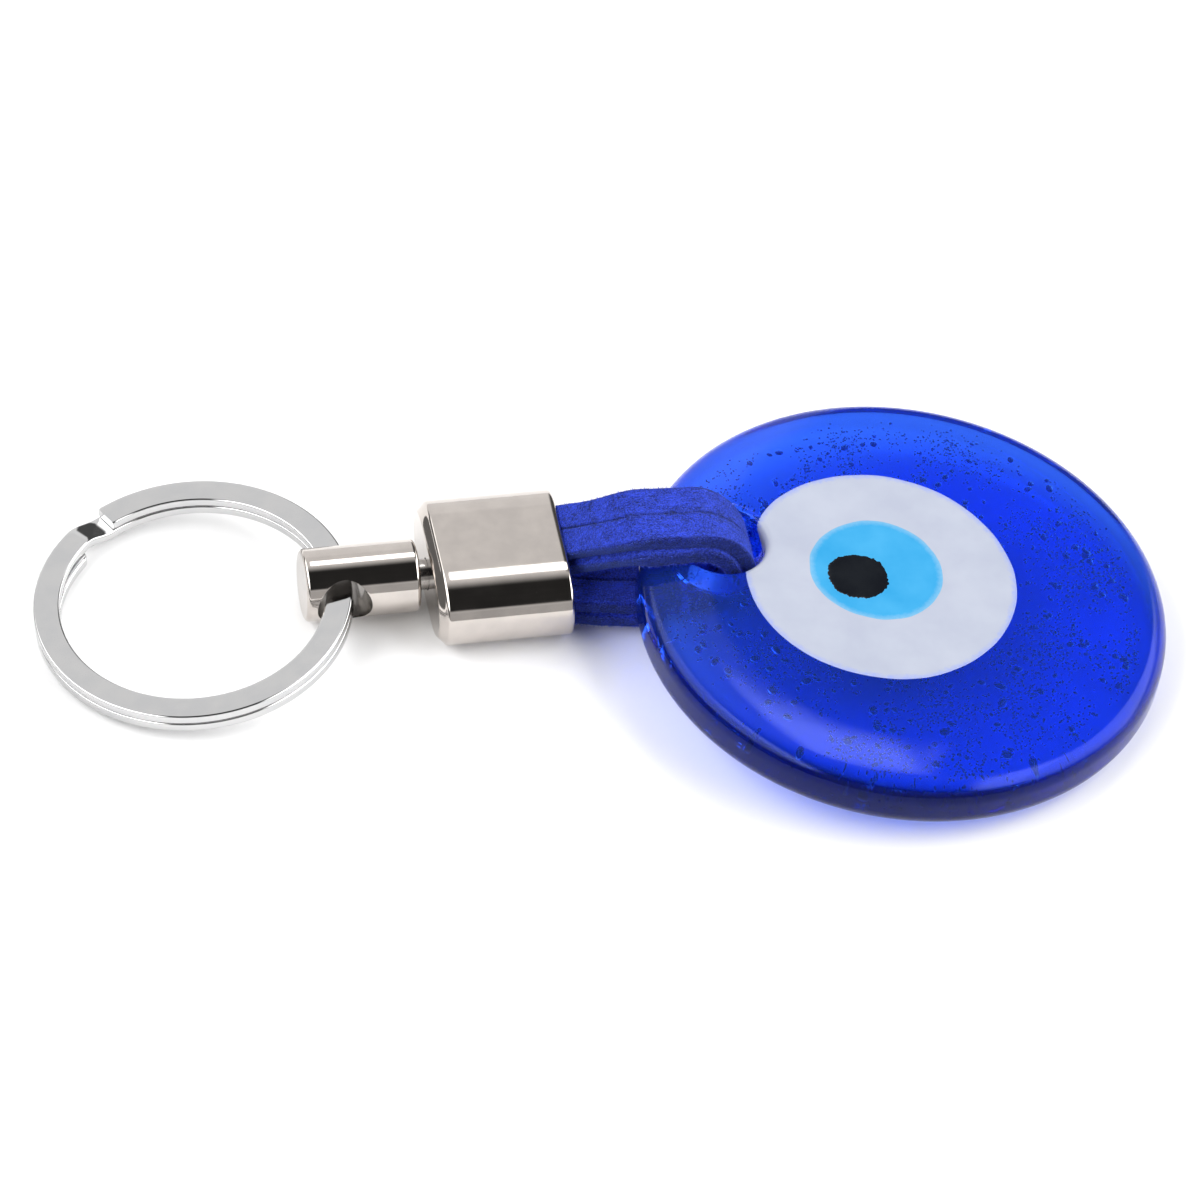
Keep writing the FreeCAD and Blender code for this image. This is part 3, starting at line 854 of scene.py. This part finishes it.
def build_bubbles():
    """Air bubbles in the glass: clouds of tiny ones, some larger ones, all a little stretched."""
    rng = random.Random(41)
    shapes = [ball(1), ball(2), ball(3)]
    points = []
    faces = []

    def free_place(r):
        while True:
            rho = 24.0 * math.sqrt(rng.random())
            a = rng.random() * 2 * math.pi
            u, v = rho * math.cos(a), rho * math.sin(a)
            place = Vector((u, v))
            w = rng.uniform(-DISC_TOP + r + 0.15, DISC_TOP - SHOULDER_DROP - r - 0.15)
            if rho > 22.6 - 2 * r:
                continue
            if (place - HOLE).length < HOLE_R + 0.3 + r:
                continue
            if (place - WHITE_MIDDLE).length < 13.3 and w + r > 1.3:  # the drops are there
                continue
            cloud = noise.noise(Vector((u / 5, v / 5, 1.3))) + 0.5 * noise.noise(Vector((u / 1.8, v / 1.8, 6.0)))
            if r > 0.2 or rng.random() < 0.35 + cloud:
                return u, v, w

    sizes = [rng.uniform(low, high) for low, high, count in BUBBLE_SIZES for k in range(count)]
    small_faces = 0
    for r in sizes:
        u, v, w = free_place(r)
        shape, shape_faces = shapes[2 if r > 0.4 else 1 if r > 0.18 else 0]
        angle = rng.uniform(0, math.pi)
        long = rng.uniform(1.0, 1.35)
        flat = rng.uniform(0.75, 1.0)
        first = len(points)
        c, s = math.cos(angle), math.sin(angle)
        for p in shape:
            x, y = p.x * long * r, p.y * r / long
            points.append(on_disc(u + x * c - y * s, v + x * s + y * c, w + p.z * r * flat))
        # a bubble is air in glass, so its faces point into it
        faces += [tuple(first + i for i in reversed(f)) for f in shape_faces]
        if r <= 0.18:
            small_faces += len(shape_faces)
    # the bubbles' dark blue walls are painted shade; the tiny ones are darker
    obj = add_mesh("air_bubbles", points, faces, BUBBLE_PAINTED_SHADE, "disc")
    obj.data.materials.append(TINY_BUBBLE_PAINTED_SHADE)
    for polygon in obj.data.polygons[len(faces) - small_faces:]:
        polygon.material_index = 1


# ---- suede laces ----


def read_off(table, place, column=1):
    """A smooth curve through one column of a table, read at a place. It is straightest at its two ends."""
    for low, high in zip(table, table[1:]):
        if place <= high[0]:
            t = (place - low[0]) / (high[0] - low[0])
            if low[0] == 0:
                t = settle(t)
            elif high[0] == LAST_PLACE:
                t = 1 - settle(1 - t)
            else:
                t = ease(t)
            return low[column] + (high[column] - low[column]) * t


def side_view(place):
    """The strap's middle seen from the side, and its outward direction. A place below 0 or past the last is in the cap."""
    if 2 <= place <= 4:
        a = math.pi / 2 * (3 - place)
        outward = Vector((math.cos(a), 0, math.sin(a)))
        return Vector((LOOP_X, 0, LOOP_Z)) + outward * LOOP_R, outward
    side = 1 if place < 3 else -1
    from_mouth = place if place < 3 else LAST_PLACE - place
    run_z = LOOP_Z + side * LOOP_R
    mouth_z = TOP_MOUTH_Z if side > 0 else BOTTOM_MOUTH_Z
    if from_mouth < 0:
        return Vector((CAP_RIGHT + from_mouth * (RUN_X - CAP_RIGHT), 0, mouth_z)), Vector((0, 0, side))
    if from_mouth >= 1:
        return Vector((RUN_X + (LOOP_X - RUN_X) * (from_mouth - 1), 0, run_z)), Vector((0, 0, side))
    length = RUN_X - CAP_RIGHT
    t = from_mouth
    slope = (run_z - mouth_z) * (1 - t) * (1 + 3 * t) / length
    middle = Vector((CAP_RIGHT + length * t, 0, mouth_z + (run_z - mouth_z) * settle(t)))
    return middle, Vector((-slope * side, 0, side)).normalized()


def lace_rows():
    inside = (CAP_RIGHT - GLUE_RIGHT - 0.1) / (RUN_X - CAP_RIGHT)
    leg = [-inside + inside * k / ROWS_IN_CAP for k in range(ROWS_IN_CAP)] + [k / 30 for k in range(30)]
    run = [1 + k / 16 for k in range(16)]
    turn = [2 + 2 * k / 60 for k in range(61)]
    return leg + run + turn + [LAST_PLACE - p for p in reversed(leg + run)]


def build_lace(name, lace, layer, seed, nodes):
    rows = lace_rows()
    points = []
    sides = []
    normals = []
    for place in rows:
        middle, outward = side_view(place)
        middle = middle + outward * (layer * (LACE_THICKNESS + LACE_GAP) / 2)
        held = min(max(place, 0.0), LAST_PLACE)
        y = read_off(lace, held)
        if layer < 0:
            y += read_off(INNER_SHIFT, held)
        width = read_off(lace, held, 2)
        if layer < 0 and lace is FRONT_LACE:  # it spreads to fill the hole
            fill = ease(1 - abs(place - 3.2) / 1.1)
            width += 0.7 * fill
            y -= 0.45 * fill
        along = place * 2.2
        wander = 0.10 * noise.noise(Vector((along, seed, 0.5)))
        breath = 1 + 0.035 * noise.noise(Vector((along * 1.7, seed, 4.5)))
        # the laces press together where the strap turns, so that the seam between them closes up
        pressed = ease((place - 0.4) / 0.6) * (1 - ease((place - 4.2) / 0.6))
        half_w = width / 2 * breath + 0.05 * pressed
        outline = round_box(half_w, LACE_THICKNESS / 2, LACE_EDGE - 0.14 * pressed, flats=12)
        for across, out in outline:
            side = ease((abs(across) - width / 2 + LACE_EDGE) / LACE_EDGE)
            skin = 0.028 * noise.noise(Vector((along * 7, across * 2.4, out * 3 + seed)))
            ridge = 0.05 * side * noise.noise(Vector((along * 1.2, out * 3.2, seed + 9)))
            stretch = 1 + (skin + ridge) / 1.2
            points.append(middle + Vector((0, y + wander + across * stretch, 0)) + outward * (out - abs(skin)))
            sides.append(side)
            normal = Vector((0, across * side * 2, 0)) + outward * out * (1 - side * 0.7)
            normals.append(normal.normalized())
    cols = len(outline)
    faces = grid_faces(len(rows), cols)
    close_ends(points, faces, len(rows), cols)
    sides += [1.0, 1.0]
    obj = add_mesh(name, points, faces, SUEDE, None)
    set_float(obj, "cut_side", sides)
    face_outwards(obj)
    bend(obj)
    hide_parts(*nodes)
    return points, normals, cols, len(rows)


def bend(obj):
    """Bakes the object's transform into its mesh. The straps' bend where they leave the cap comes from side_view."""
    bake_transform(obj)


def build_laces():
    """Four laces, and the short loose fibres of their nap as one more mesh."""
    rng = random.Random(7)
    fibre_points = []
    fibre_faces = []
    laces = (
        ("lace_outer_back", BACK_LACE, 1, 1.1, ("outer_lace_back", "lace_ends")),
        ("lace_inner_back", BACK_LACE, -1, 2.3, ("inner_lace_back",)),
        ("lace_outer_front", FRONT_LACE, 1, 3.7, ("outer_lace_front",)),
        ("lace_inner_front", FRONT_LACE, -1, 4.9, ("inner_lace_front",)),
    )
    places = lace_rows()
    for name, lace, layer, seed, nodes in laces:
        points, normals, cols, count = build_lace(name, lace, layer, seed, nodes)
        for k in range(FIBRES_PER_LACE):
            i = rng.randrange(ROWS_IN_CAP, count - ROWS_IN_CAP - 1)
            if 2.9 < places[i] < 3.9:  # rubbed smooth by the hole's edge
                continue
            j = rng.randrange(cols)
            s, t = rng.random(), rng.random()
            a, b = points[i * cols + j], points[i * cols + (j + 1) % cols]
            c, d = points[(i + 1) * cols + j], points[(i + 1) * cols + (j + 1) % cols]
            root = a.lerp(b, s).lerp(c.lerp(d, s), t)
            out = normals[i * cols + j]
            lie = Vector((rng.gauss(0, 1), rng.gauss(0, 1), rng.gauss(0, 1)))
            lie = (lie - out * lie.dot(out)).normalized()
            length = rng.uniform(0.12, 0.30)
            across = lie.cross(out).normalized() * rng.uniform(0.009, 0.016)
            middle = root + (lie * 0.6 + out * 0.5) * length * 0.6
            tip = root + (lie + out * rng.uniform(0.45, 0.8)) * length
            first = len(fibre_points)
            root = root - out * 0.03
            fibre_points += [root - across, root + across, middle + across * 0.8, middle - across * 0.8, tip]
            fibre_faces += [(first, first + 1, first + 2, first + 3), (first + 3, first + 2, first + 4)]
    fuzz = add_mesh("lace_fuzz", fibre_points, fibre_faces, FIBRE, None)
    bend(fuzz)


# ---- studio ----


def place_camera():
    flat = math.cos(ELEVATION)
    direction = Vector((flat * math.sin(AZIMUTH), -flat * math.cos(AZIMUTH), math.sin(ELEVATION)))
    data = bpy.data.cameras.new("camera")
    data.lens = LENS
    data.sensor_width = 36.0
    data.clip_start = 0.05
    data.clip_end = 20.0
    cam = bpy.data.objects.new("camera", data)
    bpy.context.collection.objects.link(cam)
    place = (TARGET + ORIGIN + direction * DISTANCE) * MM
    turn = direction.to_track_quat("Z", "Y").to_matrix().to_4x4() @ Matrix.Rotation(ROLL, 4, "Z")
    cam.matrix_world = Matrix.Translation(place) @ turn
    bpy.context.scene.camera = cam


def light_world():
    """A white studio: a bright box high at the back, bright sides, a dark ceiling, and a grey front."""
    world = bpy.data.worlds.new("studio")
    world.use_nodes = True
    tree = world.node_tree
    back = tree.nodes["Background"]
    coords = tree.nodes.new("ShaderNodeTexCoord")
    split = tree.nodes.new("ShaderNodeSeparateXYZ")
    tree.links.new(coords.outputs["Generated"], split.inputs["Vector"])

    def maths(kind, a, b=None, c=None):
        node = tree.nodes.new("ShaderNodeMath")
        node.operation = kind
        for k, value in enumerate((a, b, c)):
            if isinstance(value, bpy.types.NodeSocket):
                tree.links.new(value, node.inputs[k])
            elif value is not None:
                node.inputs[k].default_value = value
        return node.outputs[0]

    def rise(value, low, high):
        node = tree.nodes.new("ShaderNodeMapRange")
        node.interpolation_type = "SMOOTHSTEP"
        node.inputs["From Min"].default_value = low
        node.inputs["From Max"].default_value = high
        tree.links.new(value, node.inputs["Value"])
        return node.outputs["Result"]

    def fall(value, low, high):
        return maths("SUBTRACT", 1.0, rise(value, low, high))

    def both(a, b):
        return maths("MULTIPLY", a, b)

    def band(value, low, high, soft):
        return both(rise(value, low - soft, low + soft), fall(value, high - soft, high + soft))

    def blend(factor, a, b):
        return maths("ADD", both(factor, b), both(maths("SUBTRACT", 1.0, factor), a))

    # arc is the height above the back's horizon in degrees, which goes on over the top to 180 at the front's
    arc = maths("MULTIPLY", maths("ARCTAN2", split.outputs["Z"], split.outputs["Y"]), 180 / math.pi)
    across = split.outputs["X"]
    level = blend(rise(arc, 34, 42), LOW_BACK_LEVEL, BACK_LEVEL)
    level = blend(rise(arc, 150, 158), level, FRONT_LEVEL)
    level = blend(both(rise(across, 0.2, 0.26), fall(arc, 72, 80)), level, RIGHT_BACK_LEVEL)
    level = blend(both(band(arc, 58, 71, 4), band(across, 0.13, 0.30, 0.03)), level, BOX_LEVEL)
    level = blend(both(rise(arc, 72, 96), fall(arc, 148, 156)), level, CEILING_LEVEL)
    back_side = blend(band(arc, 34, 102, 12), SIDE_EDGE_LEVEL, SIDE_LEVEL)
    whole_side = blend(band(arc, 34, 150, 14), SIDE_EDGE_LEVEL, SIDE_LEVEL)
    level = blend(fall(across, -0.54, -0.42), level, back_side)
    level = blend(fall(across, -0.62, -0.50), level, whole_side)
    level = blend(rise(across, 0.62, 0.72), level, whole_side)
    for low, high in ((0.42, 0.67), (-0.62, -0.48)):
        level = blend(both(band(arc, 84, 146, 8), band(across, low, high, 0.06)), level, HIGH_LEVEL)
    level = blend(both(fall(across, -0.62, -0.45), fall(split.outputs["Z"], 0.3, 0.5)), level, LOW_LEFT_LEVEL)
    tree.links.new(level, back.inputs["Strength"])
    back.inputs["Color"].default_value = (1.0, 1.0, 1.0, 1)
    world.cycles.sampling_method = "MANUAL"
    world.cycles.sample_map_resolution = 1024
    bpy.context.scene.world = world


def lay_floor():
    half = FLOOR_HALF
    n = Nodes("pale_floor")
    n.set(Base_Color=(0.90, 0.90, 0.90, 1), Roughness=0.9)
    mesh = bpy.data.meshes.new("floor")
    mesh.from_pydata([(-half, -half, 0), (half, -half, 0), (half, half, 0), (-half, half, 0)], [], [(0, 1, 2, 3)])
    mesh.materials.append(n.material)
    floor = bpy.data.objects.new("floor", mesh)
    bpy.context.collection.objects.link(floor)


build_ring()
build_barrel()
build_rivet()
build_cap()
build_disc()
build_drops()
build_bubbles()
build_laces()
place_camera()
light_world()
lay_floor()

scene = bpy.context.scene
scene.view_settings.view_transform = "Standard"
scene.cycles.max_bounces = 24
scene.cycles.transmission_bounces = 20
scene.cycles.transparent_max_bounces = 16
scene.cycles.diffuse_bounces = 5
scene.cycles.glossy_bounces = 8
scene.cycles.caustics_refractive = True
scene.cycles.caustics_reflective = True
scene.cycles.blur_glossy = 0.5
scene.cycles.use_denoising = True
